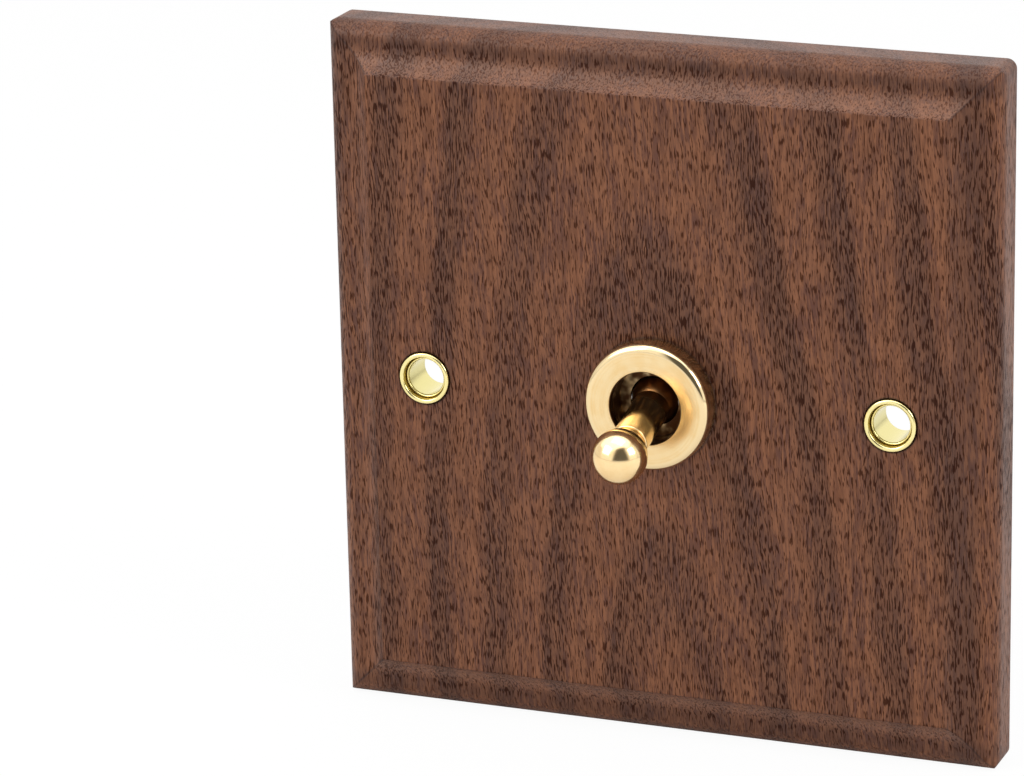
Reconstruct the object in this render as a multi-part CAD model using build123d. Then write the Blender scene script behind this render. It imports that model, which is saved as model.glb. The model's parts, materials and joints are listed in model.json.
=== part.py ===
from build123d import *
import math
import os

# Toggle light switch on a solid wooden plate, in millimetres.
# The wall plane is y = 0, the front faces -Y, +Z is up, and the origin is midway
# between the two fixing holes, on the wall plane.

# Wooden plate
plate_width = 86.0
plate_height = 88.0
plate_depth = 8.2
plate_corner = 1.2
side_depth = 4.0
edge_round = 2.2
edge_land = 0.6
cove_width = 3.2
cove_hollow = 0.45
web_thickness = 3.6
pocket_corner = 3.0
fixing_spacing = 60.3

# Brass cups that line the two fixing holes
cup_bore_radius = 2.3
cup_wall = 0.45
cup_rim_overhang = 0.53
cup_rim_thickness = 0.75
cup_proud = 0.35
cup_mouth_flare = 0.5
cup_mouth_depth = 0.7
cup_end_depth = 2.6
cup_relief_clearance = 1.45
cup_edge_round = 0.3

# Round collar on the front, screwed onto the bush
collar_radius = 8.0
collar_height = 3.1
collar_wall = 2.0
collar_bore_step = 0.06
collar_lip = 1.0
collar_chamfer = 0.35

# Bush that carries the toggle
bush_wall = 1.5
bush_flange_reach_x = 3.0
bush_flange_reach_z = 2.0
bush_flange_thickness = 2.0
bush_tail_wall = 1.3
throat_behind_pivot = 1.86
pivot_behind_collar = 4.5

# Ball-ended toggle, turned in one piece
toggle_tilt = 14.0
ball_radius = 3.4
ball_reach = 13.6
neck_radius = 1.9
neck_length = 0.4
stem_radius = 2.3
bead_round = 0.18
fulcrum_radius = 3.1
tail_radius = 2.0
tail_wall = 0.75
tail_bore_start = 4.5
pivot_pin_radius = 0.8

# Sprung plunger in the tail
plunger_shank_length = 4.5
plunger_travel = 1.0
plunger_head_radius = 1.7
plunger_head_length = 1.0
plunger_tip_gap = 0.4
spring_wire = 0.2
spring_turns = 6

# Rocking contact
rocker_pin_height = 2.4
rocker_tilt = 9.0
rocker_width = 5.0
rocker_metal = 0.8
rocker_seat = 2.0
rocker_dish = 15.0
rocker_bend = 4.5
rocker_reach = 11.0
rocker_ear_height = 1.5
rocker_ear_drop = 1.1
rocker_pin_radius = 0.7
contact_inset = 1.5
contact_radius = 1.4
contact_height = 0.9
contact_round = 0.4
fixed_contact_radius = 1.5
closed_contact_gap = 0.3

# Strap, washer and their screws
strap_width = 28.0
strap_thickness = 1.2
strap_corner = 2.0
wood_screw_radius = 1.2
wood_screw_head = 2.6
wood_screw_head_height = 1.5
wood_screw_bite = 2.8
washer_band = 2.6
washer_thickness = 0.6
washer_teeth = 12
washer_tooth_depth = 1.2
washer_notch_width = 1.2

# Moulded housing
housing_width = 24.0
housing_height = 36.0
housing_corner = 1.5
lid_front_thickness = 1.8
cavity_side_wall = 4.0
cavity_end_wall = 2.5
cavity_depth = 13.0
cavity_corner = 1.0
floor_thickness = 2.0
lid_screw_inset_x = 2.0
lid_screw_inset_z = 5.0
lid_screw_radius = 1.05
lid_screw_head = 1.9
lid_screw_head_height = 1.3
lid_screw_length = 9.5

# Terminals
terminal_width = 7.0
terminal_height = 6.0
terminal_depth = 8.0
terminal_end_wall = 2.8
terminal_spigot_radius = 1.2
terminal_spigot_shift = 1.0
terminal_screw_radius = 1.72
terminal_screw_head = 2.6
terminal_screw_head_height = 1.6
terminal_screw_rise = 0.6
wire_hole_radius = 1.6
wire_hole_depth = 4.2
wire_entry_radius = 2.0
strip_width = 4.0
strip_thickness = 0.8
bracket_height = 5.0

# Earth terminal on the strap
earth_width = 6.0
earth_height = 5.6
earth_depth = 7.0
earth_side_inset = 2.5
earth_housing_gap = 0.4
earth_spigot_radius = 1.2
earth_wire_radius = 1.3
earth_wire_depth = 4.0
earth_screw_radius = 1.45
earth_screw_head = 2.2
earth_screw_head_height = 1.4
earth_screw_rise = 0.6

# Clearances
press_gap = 0.01
running_gap = 0.04
thread_gap = 0.05
loose_gap = 0.15
passing_gap = 0.2
pocket_gap = 0.5
slot_width = 0.8
slot_depth = 0.7
wire_to_screw_gap = 0.4
margin = 2.0

# Sizes that follow from the ones above
cup_tube_radius = cup_bore_radius + cup_wall
cup_rim_radius = cup_tube_radius + cup_rim_overhang
cup_mouth_radius = cup_bore_radius + cup_mouth_flare
cup_relief_radius = cup_tube_radius + cup_relief_clearance
bush_radius = collar_radius - collar_wall
bush_bore_radius = bush_radius - bush_wall
bush_tail_radius = bush_radius - bush_tail_wall
bush_flange_width = 2 * (bush_radius + bush_flange_reach_x)
bush_flange_height = 2 * (bush_radius + bush_flange_reach_z)
collar_bore_radius = bush_bore_radius + collar_bore_step
washer_radius = bush_radius + washer_band
tail_bore_radius = tail_radius - tail_wall
cavity_width = housing_width - 2 * cavity_side_wall
cavity_height = housing_height - 2 * cavity_end_wall
lid_screw_x = housing_width / 2 - lid_screw_inset_x
lid_screw_z = housing_height / 2 - lid_screw_inset_z
terminal_spacing = (housing_height - terminal_height) / 2 - terminal_end_wall
rear_zone_depth = terminal_depth + terminal_screw_rise + terminal_screw_head_height + passing_gap
strap_screw_place = (housing_height + earth_height) / 2 + earth_housing_gap
strap_height = 2 * strap_screw_place + earth_height
pocket_width = strap_width + 2 * pocket_gap
pocket_height = strap_height + 2 * pocket_gap
earth_place_x = (strap_width - earth_width) / 2 - earth_side_inset
contact_place = rocker_reach - contact_inset

# Places along Y that follow
face_y = -plate_depth
collar_front_y = face_y - collar_height
pivot_y = collar_front_y + pivot_behind_collar
bush_front_y = collar_front_y + collar_lip + loose_gap
strap_front_y = face_y + web_thickness
strap_rear_y = strap_front_y + strap_thickness
washer_rear_y = strap_rear_y + washer_thickness
flange_front_y = washer_rear_y + lid_front_thickness
lid_rear_y = flange_front_y + bush_flange_thickness
floor_y = lid_rear_y + cavity_depth
floor_rear_y = floor_y + floor_thickness
housing_rear_y = floor_rear_y + rear_zone_depth
strip_front_y = floor_y - strip_thickness
rocker_y = floor_y - rocker_pin_height
ear_space = rocker_width / 2 + loose_gap

# Distances from the toggle's pivot, along the tail
plunger_tip = rocker_y - rocker_seat - plunger_tip_gap - pivot_y
plunger_head_start = plunger_tip - plunger_head_radius - plunger_head_length
plunger_shank_start = plunger_head_start - plunger_shank_length
tail_reach = plunger_head_start - plunger_travel - thread_gap


def bar_y(radius, y_start, y_end, x=0.0, z=0.0):
    """Round bar along Y."""
    return Pos(x, (y_start + y_end) / 2, z) * (Rot(90, 0, 0) * Cylinder(radius, y_end - y_start))


def bar_x(radius, x_start, x_end, y=0.0, z=0.0):
    """Round bar along X."""
    return Pos((x_start + x_end) / 2, y, z) * (Rot(0, 90, 0) * Cylinder(radius, x_end - x_start))


def block(width, height, y_start, y_end, x=0.0, z=0.0):
    """Box centred on (x, z), between two depths."""
    return Pos(x, (y_start + y_end) / 2, z) * Box(width, y_end - y_start, height)


def rounded_block(width, height, corner, y_start, y_end):
    """Box with its four edges along Y rounded."""
    body = block(width, height, y_start, y_end)
    return fillet(body.edges().filter_by(Axis.Y), corner)


def turned(outline):
    """Solid of revolution about the Y axis from (radius, y) points."""
    return revolve(make_face(Polyline(*outline, close=True)), Axis.Y)


def slotted(screw, head_radius, y_rear, x=0.0, z=0.0):
    """Screw with a straight driving slot across a head that faces the rear."""
    slot_length = 2 * head_radius + margin
    return screw - block(slot_width, slot_length, y_rear - slot_depth, y_rear + margin, x, z)


def tilted(piece):
    """A piece of the toggle, turned about the pivot so that the ball points down."""
    return Pos(0, pivot_y, 0) * (Rot(toggle_tilt, 0, 0) * piece)


def rocked(piece):
    """A piece of the rocking contact, turned so that its upper end lies to the rear."""
    return Pos(0, rocker_y, 0) * (Rot(-rocker_tilt, 0, 0) * piece)


def edge_waste():
    """Section of the wood that the moulded edge removes: X is the inset, Y the depth."""
    land_depth = side_depth + edge_round
    half_turn = math.sqrt(0.5)
    round_middle = (edge_round * (1 - half_turn), side_depth + edge_round * half_turn)
    land_start = (edge_round, land_depth)
    land_end = (edge_round + edge_land, land_depth)
    arris = (land_end[0] + cove_width, plate_depth)
    rise = arris[1] - land_end[1]
    chord = math.hypot(cove_width, rise)
    cove_middle = (
        (land_end[0] + arris[0]) / 2 + cove_hollow * rise / chord,
        (land_end[1] + arris[1]) / 2 - cove_hollow * cove_width / chord,
    )
    top = plate_depth + margin
    return make_face(
        [
            ThreePointArc((0, side_depth), round_middle, land_start),
            Line(land_start, land_end),
            ThreePointArc(land_end, cove_middle, arris),
            Polyline(arris, (arris[0], top), (-margin, top), (-margin, side_depth), (0, side_depth)),
        ]
    )


def cup_places():
    return [-fixing_spacing / 2, fixing_spacing / 2]


def wooden_plate():
    """Solid plate: moulded edge, mitred at the corners, with a pocket in its back."""
    plate = rounded_block(plate_width, plate_height, plate_corner, face_y, 0)
    sides = [
        ((-plate_width / 2, 0, 0), (1, 0, 0), (0, 0, -1)),
        ((plate_width / 2, 0, 0), (-1, 0, 0), (0, 0, 1)),
        ((0, 0, plate_height / 2), (0, 0, -1), (-1, 0, 0)),
        ((0, 0, -plate_height / 2), (0, 0, 1), (1, 0, 0)),
    ]
    reach = max(plate_width, plate_height) / 2 + margin
    for origin, inward, along in sides:
        plate -= extrude(Plane(origin, x_dir=inward, z_dir=along) * edge_waste(), amount=reach, both=True)
    plate -= rounded_block(pocket_width, pocket_height, pocket_corner, strap_front_y, margin)
    plate -= bar_y(bush_radius + passing_gap, face_y - margin, 0)
    for x in cup_places():
        seat_y = face_y + cup_rim_thickness - cup_proud
        plate -= bar_y(cup_tube_radius + press_gap, face_y - margin, margin, x)
        plate -= bar_y(cup_rim_radius + loose_gap, face_y - margin, seat_y, x)
        plate -= bar_y(cup_relief_radius, -cup_end_depth, margin, x)
    for z in (-strap_screw_place, strap_screw_place):
        plate -= bar_y(wood_screw_radius + press_gap, strap_front_y - wood_screw_bite - press_gap, 0, 0, z)
    return plate


def screw_cup(x):
    """Brass cup: a rounded rim, a flared mouth and a tube through the wood."""
    rim_front = face_y - cup_proud
    rim_back = rim_front + cup_rim_thickness
    cup = turned(
        [
            (cup_bore_radius, rim_front + cup_mouth_depth),
            (cup_mouth_radius, rim_front),
            (cup_rim_radius, rim_front),
            (cup_rim_radius, rim_back),
            (cup_tube_radius, rim_back),
            (cup_tube_radius, -cup_end_depth),
            (cup_bore_radius, -cup_end_depth),
        ]
    )
    front_edges = cup.edges().filter_by(GeomType.CIRCLE).sort_by(Axis.Y)[:2]
    rim_edge = front_edges.sort_by(SortBy.RADIUS)[-1:]
    return Pos(x, 0, 0) * fillet(rim_edge, cup_edge_round)


def collar():
    """Ring nut: threaded from behind, with a lip that hides the end of the bush."""
    ring = bar_y(collar_radius, collar_front_y, face_y)
    front_edge = ring.edges().filter_by(GeomType.CIRCLE).sort_by(Axis.Y)[:1]
    ring = chamfer(front_edge, collar_chamfer)
    ring -= bar_y(collar_bore_radius, collar_front_y - margin, margin)
    ring -= bar_y(bush_radius + thread_gap, collar_front_y + collar_lip, margin)
    return ring


def bush():
    """Threaded bush with a throat for the fulcrum and a square-cornered flange."""
    body = bar_y(bush_radius, bush_front_y, lid_rear_y)
    flange = rounded_block(
        bush_flange_width, bush_flange_height, cavity_corner, flange_front_y, lid_rear_y
    )
    throat_radius = fulcrum_radius + running_gap
    throat_front = pivot_y - pivot_pin_radius - passing_gap
    throat_rear = pivot_y + throat_behind_pivot
    body = body + flange
    body -= bar_y(bush_bore_radius, bush_front_y - margin, throat_front)
    body -= bar_y(throat_radius, throat_front - margin, throat_rear + margin)
    body -= turned(
        [
            (0, throat_rear),
            (throat_radius, throat_rear),
            (bush_tail_radius, flange_front_y),
            (bush_tail_radius, lid_rear_y + margin),
            (0, lid_rear_y + margin),
        ]
    )
    body -= bar_x(pivot_pin_radius + press_gap, -bush_radius - margin, bush_radius + margin, pivot_y)
    return body


def pivot_pin():
    return bar_x(pivot_pin_radius, -bush_radius, bush_radius, pivot_y)


def toggle():
    """Ball, neck, stem, fulcrum ball and drilled tail, all one turning."""
    neck_at_ball = ball_reach - math.sqrt(ball_radius**2 - neck_radius**2)
    stem_end = neck_at_ball - neck_length
    stem = bar_y(stem_radius, -stem_end, 0)
    stem = fillet(stem.edges().filter_by(GeomType.CIRCLE).sort_by(Axis.Y)[:1], bead_round)
    ball = Pos(0, -ball_reach, 0) * Sphere(ball_radius)
    neck = bar_y(neck_radius, -ball_reach, -stem_end + bead_round)
    tail = bar_y(tail_radius, 0, tail_reach)
    piece = stem + ball + neck + Sphere(fulcrum_radius) + tail
    piece -= bar_y(tail_bore_radius, tail_bore_start, tail_reach + margin)
    piece -= bar_x(pivot_pin_radius + running_gap, -fulcrum_radius - margin, fulcrum_radius + margin)
    return tilted(piece)


def plunger():
    """Insulating plunger: a shank in the tail's bore and a domed head."""
    dome_centre = plunger_head_start + plunger_head_length
    shank = bar_y(tail_bore_radius - thread_gap, plunger_shank_start, plunger_head_start)
    head = bar_y(plunger_head_radius, plunger_head_start, dome_centre)
    dome = Pos(0, dome_centre, 0) * Sphere(plunger_head_radius)
    dome -= bar_y(plunger_head_radius + margin, dome_centre - 2 * plunger_head_radius, plunger_head_start)
    return tilted(shank + head + dome)


def plunger_spring():
    """Coil spring between the bottom of the tail's bore and the plunger."""
    coil_radius = tail_bore_radius - loose_gap - spring_wire
    start = tail_bore_start + loose_gap + spring_wire
    end = plunger_shank_start - loose_gap - spring_wire
    path = Helix((end - start) / spring_turns, end - start, coil_radius)
    profile = Plane(path @ 0, z_dir=path % 0) * Circle(spring_wire)
    coil = sweep(profile, path)
    return tilted(Pos(0, start, 0) * (Rot(-90, 0, 0) * coil))


def support_strap():
    """Steel strap in the pocket: it earths the bush and stops the switch from turning."""
    strap = rounded_block(strap_width, strap_height, strap_corner, strap_front_y, strap_rear_y)
    strap -= bar_y(bush_radius + passing_gap, strap_front_y - margin, margin)
    for z in (-strap_screw_place, strap_screw_place):
        strap -= bar_y(wood_screw_radius + passing_gap, strap_front_y - margin, margin, 0, z)
    strap -= bar_y(
        earth_spigot_radius + press_gap, strap_front_y - margin, margin, earth_place_x, -strap_screw_place
    )
    return strap


def strap_screws():
    """Two short round-head wood screws that hold the strap in the pocket."""
    screws = []
    for z in (-strap_screw_place, strap_screw_place):
        head_rear = strap_rear_y + wood_screw_head_height
        screw = bar_y(wood_screw_head, strap_rear_y, head_rear, 0, z)
        screw += bar_y(wood_screw_radius, strap_front_y - wood_screw_bite, strap_rear_y, 0, z)
        screws.append(slotted(screw, wood_screw_head, head_rear, 0, z))
    return Compound(screws)


def lock_washer():
    """Internal-tooth washer between the strap and the housing."""
    washer = bar_y(washer_radius, strap_rear_y, washer_rear_y)
    washer -= bar_y(bush_radius + loose_gap, strap_rear_y - margin, washer_rear_y + margin)
    for tooth in range(washer_teeth):
        notch = block(
            washer_notch_width,
            2 * washer_tooth_depth,
            strap_rear_y - margin,
            washer_rear_y + margin,
            0,
            bush_radius,
        )
        washer -= Rot(0, 360 * tooth / washer_teeth, 0) * notch
    return washer


def lid_screw_places():
    return [(x, z) for x in (-lid_screw_x, lid_screw_x) for z in (-lid_screw_z, lid_screw_z)]


def housing_lid():
    """Moulded front of the housing: the bush's flange is trapped behind it."""
    lid = rounded_block(housing_width, housing_height, housing_corner, washer_rear_y, lid_rear_y)
    lid -= bar_y(bush_radius + loose_gap, washer_rear_y - margin, lid_rear_y)
    lid -= rounded_block(
        bush_flange_width + 2 * loose_gap,
        bush_flange_height + 2 * loose_gap,
        cavity_corner,
        flange_front_y,
        lid_rear_y + margin,
    )
    for x, z in lid_screw_places():
        head_rear = washer_rear_y + lid_screw_head_height
        lid -= bar_y(lid_screw_radius + loose_gap, washer_rear_y - margin, lid_rear_y + margin, x, z)
        lid -= bar_y(lid_screw_head + loose_gap, washer_rear_y - margin, head_rear, x, z)
    return lid


def terminal_places():
    return {"upper": terminal_spacing, "common": 0.0, "lower": -terminal_spacing}


def spigot_place(z):
    """Height of a terminal's riveted spigot, moved outwards from the middle one."""
    return z + terminal_spigot_shift * (z > 0) - terminal_spigot_shift * (z < 0)


def housing_body():
    """Moulded body: the contact chamber in front, three terminal pockets behind a floor."""
    body = rounded_block(housing_width, housing_height, housing_corner, lid_rear_y, housing_rear_y)
    body -= rounded_block(cavity_width, cavity_height, cavity_corner, lid_rear_y - margin, floor_y)
    wire_y = floor_rear_y + wire_hole_depth
    for z in terminal_places().values():
        body -= block(
            terminal_width + 2 * loose_gap,
            terminal_height + 2 * loose_gap,
            floor_rear_y,
            housing_rear_y + margin,
            0,
            z,
        )
        body -= bar_x(wire_entry_radius, 0, housing_width, wire_y, z)
        body -= bar_y(
            terminal_spigot_radius + press_gap, floor_y - margin, floor_rear_y + margin, 0, spigot_place(z)
        )
    screw_end = washer_rear_y + lid_screw_length + loose_gap
    for x, z in lid_screw_places():
        body -= bar_y(lid_screw_radius + press_gap, lid_rear_y - margin, screw_end, x, z)
    return body


def lid_screws():
    """Four screws that close the housing, heads sunk into the lid."""
    screws = []
    for x, z in lid_screw_places():
        head_rear = washer_rear_y + lid_screw_head_height
        screw = bar_y(lid_screw_head, washer_rear_y + press_gap, head_rear, x, z)
        screw += bar_y(lid_screw_radius, head_rear, washer_rear_y + lid_screw_length, x, z)
        slot_length = 2 * lid_screw_head + margin
        screw -= block(slot_width, slot_length, washer_rear_y - margin, washer_rear_y + slot_depth, x, z)
        screws.append(screw)
    return Compound(screws)


def rocker_contact():
    """Bent brass rocker: a dished middle under the plunger, two arms and two pivot ears."""
    rise = rocker_bend * math.tan(math.radians(rocker_dish))
    front = [
        (-rocker_seat - rise, -rocker_reach),
        (-rocker_seat - rise, -rocker_bend),
        (-rocker_seat, 0),
        (-rocker_seat - rise, rocker_bend),
        (-rocker_seat - rise, rocker_reach),
    ]
    rear = [(y + rocker_metal, z) for y, z in reversed(front)]
    section = Plane.YZ * make_face(Polyline(*front, *rear, close=True))
    strip = extrude(section, amount=rocker_width / 2, both=True)
    ear_front = -rocker_seat + rocker_metal / 2
    for side in (-1, 1):
        x = side * (rocker_width - rocker_metal) / 2
        strip += block(rocker_metal, 2 * rocker_ear_height, ear_front, rocker_ear_drop, x)
    strip -= bar_x(rocker_pin_radius + running_gap, -rocker_width, rocker_width)
    return rocked(strip)


def arm_rear():
    """Distance from the rocker's pin to the rear face of its arms, towards the front."""
    return -rocker_seat - rocker_bend * math.tan(math.radians(rocker_dish)) + rocker_metal


def moving_contact(side):
    """Silver contact riveted to the rear of one arm."""
    button = bar_y(contact_radius, arm_rear(), arm_rear() + contact_height, 0, side * contact_place)
    rear_edge = button.edges().filter_by(GeomType.CIRCLE).sort_by(Axis.Y)[-1:]
    return rocked(fillet(rear_edge, contact_round))


def fixed_contact_y():
    """Front face of a fixed contact, a little behind the closed moving contact."""
    tilt = math.radians(rocker_tilt)
    face = (arm_rear() + contact_height) * math.cos(tilt) + contact_place * math.sin(tilt)
    return rocker_y + face + closed_contact_gap


def fixed_contact(side):
    """Silver contact on a fixed strip."""
    button = bar_y(fixed_contact_radius, fixed_contact_y(), strip_front_y, 0, side * contact_place)
    front_edge = button.edges().filter_by(GeomType.CIRCLE).sort_by(Axis.Y)[:1]
    return fillet(front_edge, contact_round)


def rocker_pin():
    """Pin of the rocker, riveted into the bracket's two cheeks."""
    reach = ear_space + strip_thickness
    return bar_x(rocker_pin_radius, -reach, reach, rocker_y)


def common_bracket():
    """U-shaped bracket on the housing's floor that carries the rocker's pin."""
    cheek_front = rocker_y - rocker_ear_drop
    width = 2 * (ear_space + strip_thickness)
    bracket = block(width, bracket_height, strip_front_y, floor_y)
    for side in (-1, 1):
        x = side * (ear_space + strip_thickness / 2)
        bracket += block(strip_thickness, bracket_height, cheek_front, floor_y, x)
    bracket -= bar_x(rocker_pin_radius + press_gap, -width, width, rocker_y)
    bracket -= bar_y(terminal_spigot_radius + press_gap, strip_front_y - margin, floor_y + margin)
    return bracket


def contact_strip(side):
    """Brass strip from the fixed contact to the terminal's spigot."""
    spigot_z = spigot_place(side * terminal_spacing)
    inner = contact_place - fixed_contact_radius - loose_gap
    outer = abs(spigot_z) + terminal_spigot_radius + strip_thickness / 2
    strip = block(strip_width, outer - inner, strip_front_y, floor_y, 0, side * (inner + outer) / 2)
    return strip - bar_y(
        terminal_spigot_radius + press_gap, strip_front_y - margin, floor_y + margin, 0, spigot_z
    )


def terminal(z):
    """Brass pillar terminal: cross hole for the wire, screw hole from behind."""
    rear = floor_rear_y + terminal_depth
    wire_y = floor_rear_y + wire_hole_depth
    piece = block(terminal_width, terminal_height, floor_rear_y, rear, 0, z)
    piece += bar_y(terminal_spigot_radius, strip_front_y, floor_rear_y, 0, spigot_place(z))
    piece -= bar_x(wire_hole_radius, -terminal_width, terminal_width, wire_y, z)
    piece -= bar_y(terminal_screw_radius + thread_gap, wire_y, rear + margin, 0, z)
    return piece


def terminal_screws():
    """Three clamping screws, backed off so that the wire holes are open."""
    rear = floor_rear_y + terminal_depth
    tip = floor_rear_y + wire_hole_depth + wire_hole_radius + wire_to_screw_gap
    screws = []
    for z in terminal_places().values():
        head_front = rear + terminal_screw_rise
        head_rear = head_front + terminal_screw_head_height
        screw = bar_y(terminal_screw_radius, tip, head_front, 0, z)
        screw += bar_y(terminal_screw_head, head_front, head_rear, 0, z)
        screws.append(slotted(screw, terminal_screw_head, head_rear, 0, z))
    return Compound(screws)


def earth_terminal():
    """Brass earth terminal riveted to the foot of the strap."""
    rear = strap_rear_y + earth_depth
    wire_y = strap_rear_y + earth_wire_depth
    piece = block(earth_width, earth_height, strap_rear_y, rear, earth_place_x, -strap_screw_place)
    piece += bar_y(earth_spigot_radius, strap_front_y, strap_rear_y, earth_place_x, -strap_screw_place)
    piece -= bar_x(earth_wire_radius, 0, earth_place_x + earth_width, wire_y, -strap_screw_place)
    piece -= bar_y(earth_screw_radius + thread_gap, wire_y, rear + margin, earth_place_x, -strap_screw_place)
    return piece


def earth_screw():
    """Clamping screw of the earth terminal, backed off."""
    head_front = strap_rear_y + earth_depth + earth_screw_rise
    head_rear = head_front + earth_screw_head_height
    tip = strap_rear_y + earth_wire_depth + earth_wire_radius + wire_to_screw_gap
    screw = bar_y(earth_screw_radius, tip, head_front, earth_place_x, -strap_screw_place)
    screw += bar_y(earth_screw_head, head_front, head_rear, earth_place_x, -strap_screw_place)
    return slotted(screw, earth_screw_head, head_rear, earth_place_x, -strap_screw_place)


def all_pieces():
    left_x, right_x = cup_places()
    pieces = {
        "wooden_plate": wooden_plate(),
        "screw_cup_left": screw_cup(left_x),
        "screw_cup_right": screw_cup(right_x),
        "collar": collar(),
        "bush": bush(),
        "pivot_pin": pivot_pin(),
        "toggle": toggle(),
        "plunger": plunger(),
        "plunger_spring": plunger_spring(),
        "support_strap": support_strap(),
        "strap_screws": strap_screws(),
        "lock_washer": lock_washer(),
        "housing_lid": housing_lid(),
        "housing_body": housing_body(),
        "lid_screws": lid_screws(),
        "rocker_contact": rocker_contact(),
        "moving_contact_upper": moving_contact(1),
        "moving_contact_lower": moving_contact(-1),
        "rocker_pin": rocker_pin(),
        "common_bracket": common_bracket(),
        "fixed_contact_upper": fixed_contact(1),
        "fixed_contact_lower": fixed_contact(-1),
        "contact_strip_upper": contact_strip(1),
        "contact_strip_lower": contact_strip(-1),
        "terminal_screws": terminal_screws(),
        "earth_terminal": earth_terminal(),
        "earth_screw": earth_screw(),
    }
    for name, z in terminal_places().items():
        pieces["terminal_" + name] = terminal(z)
    return pieces


os.makedirs("parts", exist_ok=True)
for node, shape in all_pieces().items():
    export_step(shape, "parts/" + node + ".step")
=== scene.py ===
"""Looks, light and camera for the toggle light switch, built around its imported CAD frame."""

import json
import math

import bpy
import numpy as np
from mathutils import Matrix, Vector


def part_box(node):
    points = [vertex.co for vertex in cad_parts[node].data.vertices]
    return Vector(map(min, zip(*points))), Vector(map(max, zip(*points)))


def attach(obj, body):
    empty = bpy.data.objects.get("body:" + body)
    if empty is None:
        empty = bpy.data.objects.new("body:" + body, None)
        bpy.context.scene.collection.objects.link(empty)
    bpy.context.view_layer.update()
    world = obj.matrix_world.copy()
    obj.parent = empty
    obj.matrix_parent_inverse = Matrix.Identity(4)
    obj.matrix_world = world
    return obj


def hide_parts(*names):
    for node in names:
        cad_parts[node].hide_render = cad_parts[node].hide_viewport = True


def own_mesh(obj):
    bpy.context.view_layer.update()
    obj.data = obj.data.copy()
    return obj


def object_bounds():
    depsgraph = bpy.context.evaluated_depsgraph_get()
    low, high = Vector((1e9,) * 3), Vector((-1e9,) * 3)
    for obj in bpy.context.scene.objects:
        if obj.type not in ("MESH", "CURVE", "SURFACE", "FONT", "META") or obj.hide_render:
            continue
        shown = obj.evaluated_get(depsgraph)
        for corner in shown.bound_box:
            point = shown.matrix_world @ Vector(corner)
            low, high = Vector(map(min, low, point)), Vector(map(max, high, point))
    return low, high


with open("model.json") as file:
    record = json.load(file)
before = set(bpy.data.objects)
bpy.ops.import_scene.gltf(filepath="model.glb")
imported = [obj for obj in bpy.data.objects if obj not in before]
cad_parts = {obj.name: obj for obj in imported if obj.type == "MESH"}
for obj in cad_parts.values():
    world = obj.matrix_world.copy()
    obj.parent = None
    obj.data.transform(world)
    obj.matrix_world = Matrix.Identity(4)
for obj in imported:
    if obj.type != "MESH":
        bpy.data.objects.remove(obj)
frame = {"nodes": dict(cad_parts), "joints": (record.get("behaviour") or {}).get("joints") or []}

bl_info = {
    "name": "Toggle light switch",
    "version": (1, 0, 0),
    "blender": (4, 5, 0),
    "location": "3D View > Sidebar > Switch",
    "description": "Builds the pieces, finishes, light and camera of a wooden toggle light switch",
    "category": "Object",
}

# A millimetre in metres; the sizes and places below it are in millimetres

MM = 0.001
CAD_BOX = [list(corner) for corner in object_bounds()]
FACE_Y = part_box("wooden_plate")[0][1] / MM
HALF_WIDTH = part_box("wooden_plate")[1][0] / MM
HALF_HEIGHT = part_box("wooden_plate")[1][2] / MM
# The moulded edge, inwards from the plate's sides
ROUND_WIDTH = 2.2
QUIRK_WIDTH = 0.6
COVE_WIDTH = 3.2
COVE_START = ROUND_WIDTH + QUIRK_WIDTH
COVE_END = COVE_START + COVE_WIDTH
# Where the painted shade down the right cove comes in and goes out, along X
RIGHT_COVE_SHADE_RISE = (36.4, 38.2)
RIGHT_COVE_SHADE_FALL = (39.8, 41.2)

COLLAR_FRONT_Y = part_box("collar")[0][1] / MM
COLLAR_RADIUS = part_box("collar")[1][0] / MM
COLLAR_BORE = 4.56
COLLAR_THREAD = 6.05
COLLAR_LIP = 1.0
PIVOT_Y = sum(corner[1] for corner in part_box("pivot_pin")) / 2 / MM
CUP_X = sum(corner[0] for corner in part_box("screw_cup_right")) / 2 / MM
CUP_BACK_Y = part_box("screw_cup_right")[1][1] / MM
CUP_BORE = 2.30
CUP_GROOVE = (2.62, 2.70)
CUP_TUBE = 2.75
CUP_RIM = 3.28


# Surfaces


def mesh_from_grid(name, grid, close_across=False, close_along=False, end_faces=False):
    """Mesh over a grid of points, rows by columns, with a quad between each four neighbours.

    The quads run from each row to the next and from each column to the next. close_across joins
    the last column to the first, and close_along joins the last row to the first. end_faces
    closes the first and the last row with a flat face each.
    """
    rows, columns = grid.shape[:2]
    index = np.arange(rows * columns).reshape(rows, columns)
    if close_across:
        index = np.concatenate([index, index[:, :1]], axis=1)
    if close_along:
        index = np.concatenate([index, index[:1]], axis=0)
    quads = np.stack([index[:-1, :-1], index[:-1, 1:], index[1:, 1:], index[1:, :-1]], axis=-1)
    faces = quads.reshape(-1, 4).tolist()
    if end_faces:
        faces += [index[0, columns - 1 :: -1].tolist(), index[-1, :columns].tolist()]
    mesh = bpy.data.meshes.new(name)
    mesh.from_pydata(grid.reshape(-1, 3), [], faces)
    mesh.validate()
    return mesh


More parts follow.
